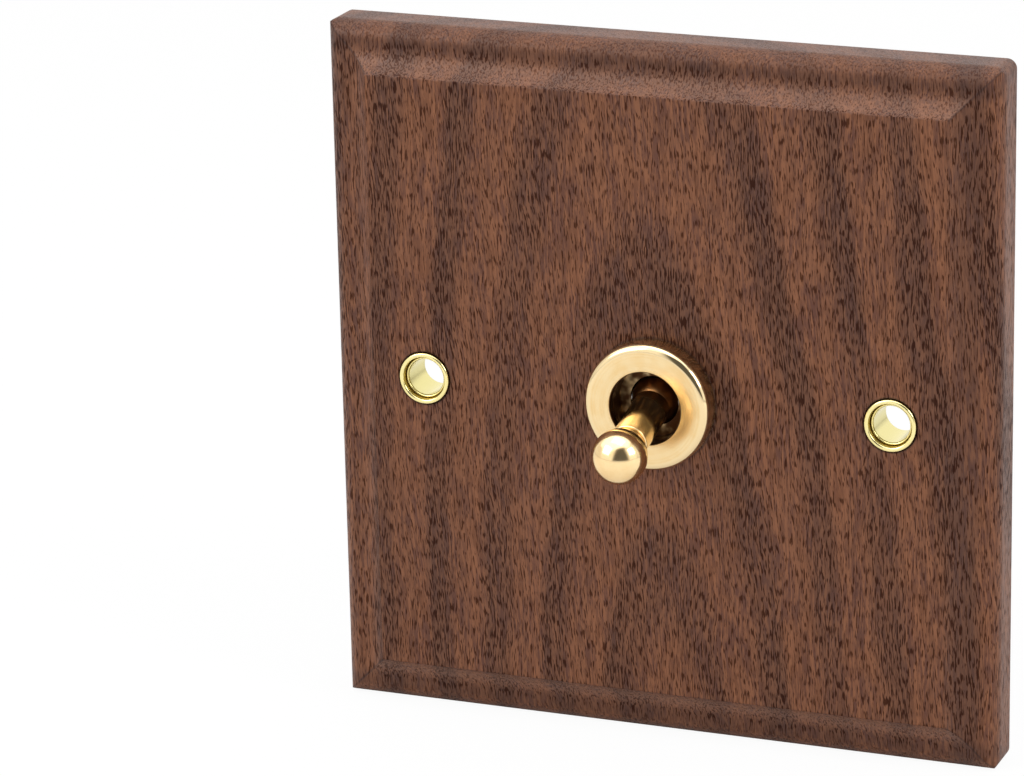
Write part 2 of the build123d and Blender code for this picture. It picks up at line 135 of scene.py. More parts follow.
def rounded_outline(points, radii, arc_steps=6):
    """Outline through the points with each corner swapped for an arc of its radius.

    The arc meets both runs at radius times the tangent of half the turn. Between those ends, each
    point is the circle's, worked out from its centre on the corner's bisector.
    """
    pts = np.asarray(points, float)
    out = []
    last = len(pts) - 1
    for i, (corner, radius) in enumerate(zip(pts, radii)):
        if i in (0, last) or radius <= 0:
            out.append(corner[None])
            continue
        into = (pts[i - 1] - corner) / np.linalg.norm(pts[i - 1] - corner)
        away = (pts[i + 1] - corner) / np.linalg.norm(pts[i + 1] - corner)
        half = math.acos(np.clip(into @ away, -1, 1)) / 2
        reach = radius / math.tan(half)
        start, end = corner + into * reach, corner + away * reach
        bisector = (into + away) / np.linalg.norm(into + away)
        centre = corner + bisector * radius / math.sin(half)
        a, b = start - centre, end - centre
        turn = math.acos(np.clip(a @ b / radius**2, -1, 1))
        t = np.linspace(0, 1, arc_steps + 1)[:, None]
        arc = (np.sin((1 - t) * turn) * a + np.sin(t * turn) * b) / math.sin(turn)
        out.append(centre + arc)
    return np.concatenate(out)


def turned_mesh(name, outline, x=0.0, segments=192):
    """Closed ring turned about the line along Y at x: (r, y) becomes (x + r cos a, y, r sin a)."""
    angle = np.linspace(0, 2 * math.pi, segments, endpoint=False)[:, None]
    radius, y = outline[:, 0][None], outline[:, 1][None]
    grid = np.stack([x + radius * np.cos(angle), y + 0 * angle, radius * np.sin(angle)], axis=-1)
    return mesh_from_grid(name, grid * MM, close_across=True, close_along=True)


def bead(start, end, y, height, fullness=1.0, steps=16):
    """Arch from radius start to radius end: the height in front of y is a power of a half ellipse's.

    A power, fullness, below 1 gives a flatter crest and steeper sides.
    """
    t = np.linspace(0, math.pi, steps)
    middle, half = (start + end) / 2, (end - start) / 2
    return np.stack([middle - half * np.cos(t), y - height * np.sin(t).clip(0) ** fullness], axis=-1)


def cup_outline():
    """The cup's section: sunk inner bead, wide outer bead, back of the rim, tube and its end."""
    root = FACE_Y + 0.02
    sunk_root = root + 0.70
    rim_back = FACE_Y + 0.40
    chamfer = 0.08
    inner_bead = bead(CUP_BORE, CUP_GROOVE[0], sunk_root, height=0.34, fullness=0.8)
    outer_bead = bead(CUP_GROOVE[1], CUP_RIM, root, height=0.37, fullness=0.55)
    tube = [
        (CUP_RIM, rim_back),
        (CUP_TUBE, rim_back),
        (CUP_TUBE, CUP_BACK_Y - chamfer),
        (CUP_TUBE - chamfer, CUP_BACK_Y),
        (CUP_BORE + chamfer, CUP_BACK_Y),
        (CUP_BORE, CUP_BACK_Y - chamfer),
    ]
    return np.concatenate([inner_bead, outer_bead, np.array(tube)])


def collar_outline(edge_round):
    """The collar's section: lip round the bore, slightly domed face, side and threaded bore.

    Each row holds a corner's radius, its place along Y and the radius of its rounding.
    """
    lip_back = COLLAR_FRONT_Y + COLLAR_LIP
    crest_radius = 6.3
    rows = np.array(
        [
            (COLLAR_BORE, lip_back, 0),
            (COLLAR_BORE, COLLAR_FRONT_Y + 0.05, 0.16),
            (crest_radius, COLLAR_FRONT_Y, 12.0),
            (COLLAR_RADIUS, COLLAR_FRONT_Y + 0.07, edge_round),
            (COLLAR_RADIUS, FACE_Y, 0.08),
            (COLLAR_THREAD, FACE_Y, 0.08),
            (COLLAR_THREAD, lip_back, 0),
        ]
    )
    return rounded_outline(rows[:, :2], rows[:, 2])


def coil_mesh(name, base, axis, length, coil, wire, turns, steps=40, sides=12):
    """Coiled wire from base, in metres: its middle line is a helix, its section a circle.

    The line's point at turn a is base + axis * length * a / whole turn + coil * outward, where
    outward is cos a and sin a of two directions square to the axis. Round it the wire's circle
    lies between outward and the direction square to both outward and the line.
    """
    first = np.cross(axis, (0.0, 0.0, 1.0))
    first /= np.linalg.norm(first)
    second = np.cross(axis, first)
    turn = np.linspace(0, 2 * math.pi * turns, turns * steps + 1)[:, None]
    outward = np.cos(turn) * first + np.sin(turn) * second
    middle = base + axis * length * turn / turn[-1] + coil * outward
    line = coil * (np.cos(turn) * second - np.sin(turn) * first) + axis * length / turn[-1]
    line /= np.linalg.norm(line, axis=1, keepdims=True)
    aside = np.cross(line, outward)
    angle = np.linspace(0, 2 * math.pi, sides, endpoint=False)[None, :, None]
    grid = middle[:, None] + wire * (np.cos(angle) * outward[:, None] + np.sin(angle) * aside[:, None])
    return mesh_from_grid(name, grid, close_across=True, end_faces=True)


def place(mesh, name, body, node, material, sharp_angle=30.0):
    """New piece for a CAD node: smooth but for sharp corners, riding on its body."""
    piece = bpy.data.objects.new(name, mesh)
    bpy.context.scene.collection.objects.link(piece)
    mesh.shade_smooth()
    mesh.set_sharp_from_angle(angle=math.radians(sharp_angle))
    mesh.materials.append(material)
    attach(piece, body)
    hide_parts(node)
    return piece


# Shader expressions


class Value:
    """A shader socket that Python arithmetic works on."""

    def __init__(self, shader, socket):
        self.shader = shader
        self.socket = socket

    def math(self, operation, *values):
        return self.shader.node("ShaderNodeMath", {"operation": operation}, *values)

    def __add__(self, other):
        return self.math("ADD", self, other)

    __radd__ = __add__

    def __sub__(self, other):
        return self.math("SUBTRACT", self, other)

    def __rsub__(self, other):
        return self.math("SUBTRACT", other, self)

    def __mul__(self, other):
        return self.math("MULTIPLY", self, other)

    __rmul__ = __mul__

    def __truediv__(self, other):
        return self.math("DIVIDE", self, other)

    def clamp(self):
        return self.math("MINIMUM", self.math("MAXIMUM", self, 0.0), 1.0)

    def between(self, low, high):
        """0 below low, 1 above high, smooth in between."""
        return self.shader.node(
            "ShaderNodeMapRange",
            {"interpolation_type": "SMOOTHSTEP"},
            self,
            low,
            high,
            0.0,
            1.0,
        )

    def within(self, rise, fall):
        """0 to 1 over the pair rise, and back to 0 over the pair fall."""
        return self.between(*rise) * (1 - self.between(*fall))


class Shader:
    """A material's or world's node tree, emptied, with one way to add a node."""

    def __init__(self, owner):
        owner.use_nodes = True
        self.tree = owner.node_tree
        self.tree.nodes.clear()

    def node(self, kind, settings, *values, output=0, at=None, **named):
        """Adds a node: settings first, then sockets in order, by place, or by name with _ for a space."""
        made = self.tree.nodes.new(kind)
        for key, value in settings.items():
            setattr(made, key, value)
        for index, value in [*enumerate(values), *(at or {}).items()]:
            self._feed(made.inputs[index], value)
        for key, value in named.items():
            self._feed(made.inputs[key.replace("_", " ")], value)
        return Value(self, made.outputs[output]) if len(made.outputs) else None

    def _feed(self, target, value):
        if isinstance(value, Value):
            self.tree.links.new(value.socket, target)
        else:
            target.default_value = value

    def root(self, value):
        return self.node("ShaderNodeMath", {"operation": "SQRT"}, value)

    def distance(self, first, second):
        """Length of a line whose two square sides are given."""
        return self.root(first * first + second * second)

    def size(self, value):
        """The value without its sign."""
        return self.node("ShaderNodeMath", {"operation": "ABSOLUTE"}, value)

    def fraction(self, value):
        return self.node("ShaderNodeMath", {"operation": "FRACT"}, value)

    def dot(self, first, second):
        settings = {"operation": "DOT_PRODUCT"}
        return self.node("ShaderNodeVectorMath", settings, first, second, output="Value")

    def object_mm(self):
        """Object coordinates in millimetres."""
        point = self.node("ShaderNodeTexCoord", {}, output="Object")
        return self.node("ShaderNodeVectorMath", {"operation": "SCALE"}, point, Scale=1 / MM)

    def split(self, vector):
        return [self.node("ShaderNodeSeparateXYZ", {}, vector, output=i) for i in range(3)]

    def vector(self, x, y, z):
        return self.node("ShaderNodeCombineXYZ", {}, x, y, z)

    def noise(self, point, scale=1.0, detail=2.0, roughness=0.5):
        inputs = {"Vector": point, "Scale": scale, "Detail": detail, "Roughness": roughness}
        return self.node("ShaderNodeTexNoise", {}, **inputs)

    def mix(self, factor, first, second):
        """Colour mix: first where factor is 0, second where it is 1."""
        first, second = (c if isinstance(c, Value) else (*c, 1.0) for c in (first, second))
        places = {0: factor, 6: first, 7: second}
        return self.node("ShaderNodeMix", {"data_type": "RGBA"}, output=2, at=places)

    def bump(self, height, distance, strength, normal):
        inputs = {"Strength": strength, "Distance": distance, "Height": height, "Normal": normal}
        return self.node("ShaderNodeBump", {}, **inputs)

    def soft_edges(self, radius):
        """Normal with the sharp edges rounded by that radius in metres."""
        return self.node("ShaderNodeBevel", {"samples": 4}, Radius=radius)

    def surface(self, **inputs):
        """Principled surface to the material's output."""
        made = self.node("ShaderNodeBsdfPrincipled", {}, **inputs)
        self.node("ShaderNodeOutputMaterial", {}, made)


def finish_on(node, material):
    """Puts a finish in every material slot of a CAD node."""
    for slot in frame["nodes"][node].material_slots:
        slot.material = material


# Finishes


def darker(colour, share):
    """The colour with each part brought down to a share of it."""
    return tuple(share * part for part in colour)


def along_grain(shader, x, y, z, across, along, shift=0.0, detail=2.0, roughness=0.5):
    """Noise drawn out along the grain: its scales per millimetre across Z and along Z."""
    point = shader.vector(x * across, y * across, z * along + shift)
    return shader.noise(point, detail=detail, roughness=roughness)


def growth_rings(shader, settings, lean, depth):
    """Coarse and fine rings, 0 in early wood and 1 in late wood, by the distance to the pith."""
    ring = shader.distance(lean, depth) * (MM / settings.ring_spacing)
    coarse = shader.fraction(ring + settings.ring_phase).within((0.30, 0.84), (0.84, 1.0))
    fine = shader.fraction(ring * 3.0 + 0.3).within((0.2, 0.85), (0.88, 1.0))
    return coarse, fine


def shade_beside_rim(shader, x, z, centre, radius):
    """1 in a thin ring of wood right beside a brass rim, where shade is painted."""
    return 1 - shader.distance(x - centre, z).between(radius + 0.08, radius + 0.38)


def painted_shade_in_corners(shader, x, z, inset_x, inset_z, behind_face, worked):
    """Painted shade in the wood beside the brass rims, in the upper and lower quirk and along the four
    mitres; in the quirk it also stands for gathered polish.
    """
    rims = shade_beside_rim(shader, x, z, 0.0, COLLAR_RADIUS)
    for centre in (CUP_X, -CUP_X):
        rims = rims + shade_beside_rim(shader, x, z, centre, CUP_RIM)
    quirk = inset_z.within((ROUND_WIDTH - 1.0, ROUND_WIDTH + 0.2), (COVE_START, COVE_START + 1.4))
    mitre = (1 - shader.size(inset_x - inset_z).between(0.04, 0.30)) * behind_face.between(0.02, 0.30)
    return (rims * 0.75 + quirk * worked * 0.35 + mitre * worked * 0.5).clamp()


def walnut(settings):
    """Solid walnut: growth rings about a pith behind the plate, pores and fibres along Z."""
    material = bpy.data.materials.new("walnut")
    shader = Shader(material)
    x, y, z = shader.split(shader.object_mm())
    behind_face = y - FACE_Y

    slow = along_grain(shader, x, y, z, across=0.045, along=0.016, detail=3.0, roughness=0.55)
    wave = along_grain(shader, x, y, z, across=0.16, along=0.05, shift=7.0)
    patch = along_grain(shader, x, y, z, across=0.07, along=0.03).between(0.38, 0.62)
    lean = x + (slow - 0.5) * 6.0 + (wave - 0.5) * 2.4 + z * 0.03
    pith = settings.pith_depth / MM + z * settings.pith_slope + (slow - 0.5) * 3.0
    coarse, fine = growth_rings(shader, settings, lean, behind_face + pith)
    figure = (coarse * (0.55 + patch * 0.45) + fine * 0.22).clamp()

    slant = x + z * 0.05 + (wave - 0.5) * 2.2
    fibre = along_grain(shader, slant, y, z, across=3.6, along=0.35, roughness=0.6)
    tone = along_grain(
        shader, slant, y, z, across=0.55, along=0.20, shift=3.0, detail=3.0, roughness=0.6
    )
    pore = along_grain(shader, slant, y, z, across=5.5, along=0.72, detail=1.5)

    inset_x, inset_z = HALF_WIDTH - shader.size(x), HALF_HEIGHT - shader.size(z)
    # 1 as deep as the front is moulded, 0 on the straight sides behind it
    worked = 1 - behind_face.between(3.0, 4.2)
    end_grain = 1 - inset_z.between(ROUND_WIDTH - 0.4, ROUND_WIDTH + 0.5)
    cove = inset_z.within((COVE_START + 0.1, COVE_START + 1.8), (COVE_END - 0.5, COVE_END + 0.1))
    # Only the upper and lower coves, cut across the grain up to their mitres, get the painted sheen and
    # fewer pores
    cove = cove * behind_face.between(0.0, 0.1) * worked * (inset_x - inset_z).between(-0.1, 0.1)
    pore = (pore + figure * 0.06).between(0.53, 0.65) * (1 - end_grain * 0.4 - cove * 0.35)
    right_cove_shade = x.within(RIGHT_COVE_SHADE_RISE, RIGHT_COVE_SHADE_FALL)

    colour = shader.mix(tone.between(0.36, 0.64), settings.violet, settings.amber)
    colour = shader.mix(fibre.between(0.38, 0.66), colour, settings.light)
    colour = shader.mix(figure * settings.figure, colour, settings.dark)
    # Darker end grain at top and bottom, and painted shade down the right cove, both in the late-wood
    # colour
    colour = shader.mix(end_grain * 0.16 + right_cove_shade * 0.34, colour, settings.dark)
    # Painted sheen: a paler grey laid over the upper and lower coves
    colour = shader.mix(cove * 0.10, colour, settings.worked)
    colour = shader.mix(pore * (0.72 + figure * 0.2), colour, settings.pore)
    # Painted shade in the pore colour: beside the rims, in the quirks and along the mitres
    corner_shade = painted_shade_in_corners(shader, x, z, inset_x, inset_z, behind_face, worked)
    colour = shader.mix(corner_shade, colour, settings.pore)

    height = (1 - pore) + fibre * 0.3
    edges = shader.soft_edges(settings.edge_softness)
    # An open pore returns no white gloss, which its metallic share takes away.
    shader.surface(
        Base_Color=colour,
        Metallic=pore * 0.85,
        Specular_IOR_Level=settings.gloss,
        Roughness=(settings.roughness + pore * 0.2 + fibre * 0.08).clamp(),
        Normal=shader.bump(height, 0.05 * MM, settings.pore_relief, edges),
    )
    return material


def metal(name, colour, tint, roughness, scratch=0.04, marks=None, edge=0.06, relief=0.5, wear_and_shade=()):
    """Metal finish: the colour drifts towards a tint, with fine marks in roughness and bump.

    marks is a function that gives the marks' height at a point in millimetres. Each row of the list of
    worn and shaded places holds a function that is 1 where the metal differs, its colour there and its
    roughness there: real wear on the collar's edge, painted shade in the bores, groove and throat.
    edge is the rounding of the sharp edges in millimetres.
    """
    material = bpy.data.materials.new(name)
    shader = Shader(material)
    point = shader.object_mm()
    cloud = shader.noise(point, scale=0.35, detail=3.0, roughness=0.6)
    mark = marks(shader, point) if marks else shader.noise(point, scale=6.0, detail=3.0, roughness=0.7)
    drift = (cloud.between(0.32, 0.72) * 0.55 + mark.between(0.40, 0.62) * 0.25).clamp()
    base = shader.mix(drift, colour, tint)
    rough = roughness + (mark - 0.5) * scratch * 2 + (cloud - 0.5) * 0.08
    # Rows lay real wear and painted shade over the base colour
    for where, wear_and_shade_colour, wear_and_shade_roughness in wear_and_shade:
        share = where(shader, point)
        base = shader.mix(share, base, wear_and_shade_colour)
        rough = rough + share * (wear_and_shade_roughness - roughness)
    shader.surface(
        Base_Color=base,
        Metallic=1.0,
        Roughness=rough.clamp(),
        Normal=shader.bump(mark, 0.004 * MM, relief, shader.soft_edges(edge * MM)),
    )
    return material


def turning_marks(scale):
    """Fine rings about the Y axis, as a lathe leaves, broken a little by noise."""

    def marks(shader, point):
        x, y, z = shader.split(point)
        broken = shader.noise(point, scale=0.5) * 0.6
        return shader.noise(shader.vector(shader.distance(x, z) * scale, y * scale, broken))

    return marks


def brushed_along_z(shader, point):
    """Fine straight marks along Z, as rolled sheet has."""
    x, y, z = shader.split(point)
    return shader.noise(shader.vector(x * 7.0, y * 7.0, z * 0.25), detail=3.0, roughness=0.65)


def collar_bore(shader, point):
    """1 inside the collar's bore and on the bush, 0 on the collar's face and side."""
    x, y, z = shader.split(point)
    return 1 - shader.distance(x, z).between(COLLAR_BORE + 0.04, COLLAR_BORE + 0.20)


def collar_edge(shader, point):
    """1 on the collar's polished edge, 0 on its satin face and side."""
    x, y, z = shader.split(point)
    outside = shader.distance(x, z).between(COLLAR_RADIUS - 1.05, COLLAR_RADIUS - 0.75)
    return outside * (1 - (y - COLLAR_FRONT_Y).between(0.9, 1.3))


def stem_root(shader, point):
    """1 at the fulcrum, fading to 0 along the stem and along the tail."""
    x, y, z = shader.split(point)
    along = y - PIVOT_Y
    return 1 - shader.root(x * x + along * along + z * z).between(3.0, 7.2)


def cup_radius(shader, point):
    """Distance in millimetres from the middle line of the nearer cup."""
    x, y, z = shader.split(point)
    return shader.distance(shader.size(x) - CUP_X, z)


def between_beads(shader, point):
    """1 in the groove between a cup's two beads."""
    inner, outer = CUP_GROOVE
    return cup_radius(shader, point).within((inner - 0.07, inner), (outer - 0.03, outer + 0.06))


def cup_bore(shader, point):
    """1 in a cup's bore, 0 on its rim."""
    return 1 - cup_radius(shader, point).between(CUP_BORE + 0.01, CUP_BORE + 0.06)


def whole_piece(shader, point):
    """Up to 1 over all of the piece, thinner where a slow noise says so."""
    return shader.noise(point, scale=0.5, detail=2.0).between(0.15, 0.55)


def moulded(name, colour, roughness, grain=5.0, relief=0.35):
    """Moulded plastic: a fine even grain, slight clouding and softened edges."""
    material = bpy.data.materials.new(name)
    shader = Shader(material)
    point = shader.object_mm()
    cloud = shader.noise(point, scale=0.12, detail=3.0)
    spark = shader.noise(point, scale=grain, detail=2.0, roughness=0.6)
    shader.surface(
        Base_Color=shader.mix(cloud.between(0.3, 0.7), darker(colour, 0.93), colour),
        Roughness=(roughness + (spark - 0.5) * 0.18).clamp(),
        Normal=shader.bump(spark, 0.012 * MM, relief, shader.soft_edges(0.12 * MM)),
    )
    return material


# Settings


def colour_property(name, description, default):
    return bpy.props.FloatVectorProperty(
        name=name, description=description, subtype="COLOR", size=3, min=0.0, max=1.0, default=default
    )


def length_property(name, description, default):
    return bpy.props.FloatProperty(
        name=name, description=description, unit="LENGTH", precision=5, min=0.0, default=default
    )


def number_property(name, description, default, **kind):
    """Plain number, or one with the unit or subtype that kind gives."""
    return bpy.props.FloatProperty(name=name, description=description, default=default, **kind)


def share_property(name, description, default):
    return number_property(name, description, default, subtype="FACTOR")


def angle_property(name, description, degrees):
    return number_property(name, description, math.radians(degrees), subtype="ANGLE")


def power_property(name, description, default):
    return number_property(name, description, default, unit="POWER")


class WalnutSettings(bpy.types.PropertyGroup):
    light: colour_property("Light", "Colour of the lightest fibres", (0.188, 0.068, 0.027))
    amber: colour_property("Amber", "Colour of the warmer streaks", (0.122, 0.038, 0.011))
    violet: colour_property("Violet", "Colour of the cooler streaks", (0.086, 0.026, 0.012))
    dark: colour_property("Dark", "Colour of the late wood in each growth ring", (0.036, 0.013, 0.008))
    # Worked is a painted sheen: a paler grey for the upper and lower coves
    worked: colour_property("Worked", "Paler colour of the coves across the grain", (0.42, 0.27, 0.21))
    pore: colour_property("Pore", "Colour inside the open pores", (0.030, 0.009, 0.005))
    figure: share_property("Figure", "Strength of the growth rings", 0.50)
    ring_spacing: length_property("Ring spacing", "Distance between two growth rings", 0.0078)
    ring_phase: number_property("Ring phase", "Share of a spacing that the rings move inwards", 0.80)
    pith_depth: length_property("Pith depth", "How far the tree's pith lies behind the front", 0.012)
    pith_slope: number_property("Pith slope", "How fast the pith moves away towards the top", 0.21)
    roughness: share_property("Roughness", "Roughness of the oiled surface", 0.38)
    gloss: share_property("Gloss", "Strength of the oiled surface's gloss", 0.33)
    pore_relief: share_property("Pore relief", "Strength of the pores' bump", 0.7)
    edge_softness: length_property("Edge softness", "Rounding of the worked edges", 0.00030)


class BrassSettings(bpy.types.PropertyGroup):
    face: colour_property("Face", "Colour of the collar's satin brass", (0.80, 0.62, 0.35))
    face_tint: colour_property("Face tint", "Colour that the satin brass drifts to", (0.76, 0.51, 0.22))
    lever: colour_property("Lever", "Colour of the polished toggle", (0.90, 0.68, 0.37))
    lever_tint: colour_property("Lever tint", "Colour that the toggle drifts to", (0.82, 0.56, 0.26))
    cup: colour_property("Cup", "Colour of the bright cups", (0.88, 0.78, 0.38))
    cup_tint: colour_property("Cup tint", "Colour that the cups' brass drifts to", (0.80, 0.68, 0.28))
    # Painted shade in the groove between a cup's beads
    cup_groove: colour_property("Cup groove", "Colour between a cup's beads", (0.46, 0.35, 0.11))
    # Painted shade inside a cup's bore
    cup_bore: colour_property("Cup bore", "Colour inside a cup", (0.70, 0.62, 0.27))
    # Painted shade: near-black brass in the collar's bore and over the bush, darkening the throat
    tarnish: colour_property("Throat shade", "Colour of the brass inside the throat", (0.060, 0.025, 0.010))
    # Painted shade on the stem where it runs into the throat
    root: colour_property("Root", "Colour of the toggle's stem inside the throat", (0.42, 0.20, 0.07))
    face_roughness: share_property("Face roughness", "Roughness of the collar", 0.24)
    lever_roughness: share_property("Lever roughness", "Roughness of the toggle", 0.15)
    cup_roughness: share_property("Cup roughness", "Roughness of the cups", 0.14)
    edge_round: length_property("Edge round", "Rounding of the collar's front edge", 0.0009)


class InsideSettings(bpy.types.PropertyGroup):
    steel: colour_property("Steel", "Colour of the zinc-plated steel", (0.60, 0.60, 0.59))
    wire: colour_property("Wire", "Colour of the spring wire", (0.42, 0.42, 0.43))
    stamped: colour_property("Stamped brass", "Colour of terminals and strips", (0.72, 0.52, 0.22))
    stamped_tint: colour_property("Stamped tint", "Colour that this brass drifts to", (0.58, 0.38, 0.16))
    silver: colour_property("Silver", "Colour of the contacts", (0.80, 0.79, 0.76))
    body: colour_property("Housing", "Colour of the moulded housing", (0.66, 0.64, 0.58))
    lid: colour_property("Lid", "Colour of the moulded lid", (0.030, 0.030, 0.033))
    nylon: colour_property("Nylon", "Colour of the plunger", (0.74, 0.72, 0.64))
    spring_turns: bpy.props.IntProperty(
        name="Spring turns", description="Turns of the plunger's spring", default=6
    )


class StageSettings(bpy.types.PropertyGroup):
    camera_place: bpy.props.FloatVectorProperty(
        name="Camera",
        description="Place of the camera",
        subtype="TRANSLATION",
        default=(0.1913, -0.5200, 0.1769),
    )
    azimuth: angle_property("Azimuth", "View's turn to the right of the front", 20.26)
    elevation: angle_property("Elevation", "How steeply the camera looks down", 17.78)
    roll: angle_property("Roll", "Camera's turn about its view line", -0.67)
    lens: number_property("Lens", "Focal length in millimetres", 166.2)
    shift: number_property("Shift", "Sideways shift of the frame", -0.156)
    surround: number_property("Surround", "Strength of the even light from all sides", 0.85)
    room: number_property("Room", "Brightness of the room in the gloss", 0.13)
    windows: number_property("Windows", "Brightness of its windows in the gloss", 1.27)
    key: power_property("Key light", "Power of the left softbox", 1.52)
    top: power_property("Top light", "Power of the overhead softbox", 0.62)
    side: power_property("Side light", "Power of the right softbox", 1.9)


# Pieces


class SWITCH_OT_wooden_plate(bpy.types.Operator):
    """Finish the solid plate in walnut"""

    bl_idname = "switch.wooden_plate"
    bl_label = "Wooden plate"

    def execute(self, context):
        finish_on("wooden_plate", walnut(context.scene.switch_walnut))
        return {"FINISHED"}


class SWITCH_OT_collar(bpy.types.Operator):
    """Turn the brass collar, with its lip, rounded edges and slightly domed face"""

    bl_idname = "switch.collar"
    bl_label = "Collar"

    def execute(self, context):
        brass = context.scene.switch_brass
        material = metal(
            "satin_brass",
            brass.face,
            brass.face_tint,
            brass.face_roughness,
            scratch=0.05,
            marks=turning_marks(5.0),
            edge=0.04,
            relief=0.3,
            # Real polish on the edge changes only roughness; the bore gets painted shade, nearly black
            wear_and_shade=[(collar_edge, brass.face, 0.09), (collar_bore, brass.tarnish, 0.45)],
        )
        mesh = turned_mesh("turned_collar", collar_outline(brass.edge_round / MM))
        place(mesh, "turned_collar", "plate", "collar", material)
        return {"FINISHED"}


class SWITCH_OT_toggle(bpy.types.Operator):
    """Polish the ball-ended toggle with painted shade on its stem's root, and darken the bush that it
    turns in with painted shade
    """

    bl_idname = "switch.toggle"
    bl_label = "Toggle and bush"

    def execute(self, context):
        brass = context.scene.switch_brass
        lever = metal(
            "polished_brass",
            brass.lever,
            brass.lever_tint,
            brass.lever_roughness,
            scratch=0.03,
            edge=0.04,
            relief=0.2,
            # Painted shade: the stem darkens towards the fulcrum inside the throat
            wear_and_shade=[(stem_root, brass.root, 0.30)],
        )
        finish_on("toggle", lever)
        throat = metal(
            "throat_brass",
            brass.lever,
            brass.lever_tint,
            0.3,
            marks=turning_marks(3.0),
            # Painted shade over nearly all of the bush inside the throat
            wear_and_shade=[(whole_piece, brass.tarnish, 0.45)],
        )
        finish_on("bush", throat)
        return {"FINISHED"}


class SWITCH_OT_screw_cups(bpy.types.Operator):
    """Turn the two bright cups, each with a wide outer bead and a narrow inner one"""

    bl_idname = "switch.screw_cups"
    bl_label = "Screw cups"

    def execute(self, context):
        brass = context.scene.switch_brass
        material = metal(
            "cup_brass",
            brass.cup,
            brass.cup_tint,
            brass.cup_roughness,
            edge=0.03,
            # Painted shade in the groove between the beads and inside the bore
            wear_and_shade=[(between_beads, brass.cup_groove, 0.30), (cup_bore, brass.cup_bore, 0.18)],
        )
        for side, x in (("left", -CUP_X), ("right", CUP_X)):
            name = "turned_cup_" + side
            mesh = turned_mesh(name, cup_outline(), x=x)
            place(mesh, name, "plate", "screw_cup_" + side, material)
        return {"FINISHED"}


class SWITCH_OT_steel_parts(bpy.types.Operator):
    """Finish strap, washer, pins and screws in zinc-plated steel"""

    bl_idname = "switch.steel_parts"
    bl_label = "Steel parts"

    def execute(self, context):
        steel = context.scene.switch_inside.steel
        plated = metal("zinc_plated_steel", steel, darker(steel, 0.9), 0.34, marks=brushed_along_z)
        for node in (
            "support_strap",
            "strap_screws",
            "lock_washer",
            "lid_screws",
            "terminal_screws",
            "earth_screw",
            "pivot_pin",
            "rocker_pin",
        ):
            finish_on(node, plated)
        return {"FINISHED"}


def spring_sizes(slide):
    """Base, axis, length, coil radius and wire radius of the spring, in metres, from its node."""
    vertices = frame["nodes"]["plunger_spring"].data.vertices
    points = np.empty(len(vertices) * 3)
    vertices.foreach_get("co", points)
    pivot = np.array([0.0, PIVOT_Y * MM, 0.0])
    points = points.reshape(-1, 3) - pivot
    axis = -np.array(slide["axis"], float)
    along = points @ axis
    radius = np.linalg.norm(points - along[:, None] * axis, axis=1)
    wire = (radius.max() - radius.min()) / 2
    length = along.max() - along.min() - 2 * wire
    return pivot + axis * (along.min() + wire), axis, length, radius.min() + wire, wire


class SWITCH_OT_plunger_spring(bpy.types.Operator):
    """Coil the plunger's spring; the real one shortens as the plunger goes in, this coil keeps its length
    """

    bl_idname = "switch.plunger_spring"
    bl_label = "Plunger spring"

    def execute(self, context):
        inside = context.scene.switch_inside
        slide = next(joint for joint in frame["joints"] if joint["name"] == "plunger_slide")
        base, axis, length, coil, wire = spring_sizes(slide)
        mesh = coil_mesh("coiled_spring", base, axis, length, coil, wire, inside.spring_turns)
        material = metal("spring_steel", inside.wire, darker(inside.wire, 0.85), 0.28)
        piece = place(mesh, "coiled_spring", "toggle", "plunger_spring", material)
        kept = 1 - slide["range_m"][1] / (length + 2 * wire)
        tuple(base - axis * wire)
        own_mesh(piece)
        return {"FINISHED"}


class SWITCH_OT_contact_parts(bpy.types.Operator):
    """Finish terminals, strips, rocker and contacts"""

    bl_idname = "switch.contact_parts"
    bl_label = "Contact parts"

    def execute(self, context):
        inside = context.scene.switch_inside
        stamped = metal(
            "contact_brass", inside.stamped, inside.stamped_tint, 0.36, marks=brushed_along_z
        )
        for node in (
            "rocker_contact",
            "common_bracket",
            "contact_strip_upper",
            "contact_strip_lower",
            "terminal_upper",
            "terminal_common",
            "terminal_lower",
            "earth_terminal",
        ):
            finish_on(node, stamped)
        contacts = metal("silver", inside.silver, darker(inside.silver, 0.85), 0.30)
        for side in ("upper", "lower"):
            finish_on("moving_contact_" + side, contacts)
            finish_on("fixed_contact_" + side, contacts)
        return {"FINISHED"}


class SWITCH_OT_mouldings(bpy.types.Operator):
    """Finish housing, lid and plunger as moulded plastic"""

    bl_idname = "switch.mouldings"
    bl_label = "Mouldings"

    def execute(self, context):
        inside = context.scene.switch_inside
        finish_on("housing_body", moulded("moulded_housing", inside.body, 0.42))
        finish_on("housing_lid", moulded("moulded_lid", inside.lid, 0.45))
        finish_on("plunger", moulded("nylon", inside.nylon, 0.38, grain=3.0, relief=0.2))
        return {"FINISHED"}


# Stage: places and sizes in metres; a window's middle is a direction, its halves tangents of angles

FLOOR_HALF = 6.0
SOFTBOXES = {
    "left_softbox": {"place_at": (-0.42, -0.44, 0.38), "width": 0.42, "height": 0.36},
    "top_softbox": {"place_at": (-0.02, -0.08, 0.62), "width": 0.50, "height": 0.34},
    "right_softbox": {"place_at": (0.62, -0.14, 0.36), "width": 0.30, "height": 0.30},
}
OVERHEAD_WINDOW = {"middle": (-0.19, -0.10, 0.97), "half_width": 0.58, "half_height": 0.95}
LEFT_WINDOW = {"middle": (-0.546, -0.736, 0.398), "half_width": 0.40, "half_height": 0.40}
RIGHT_WINDOW = {"middle": (0.902, -0.184, 0.390), "half_width": 0.22, "half_height": 0.42}


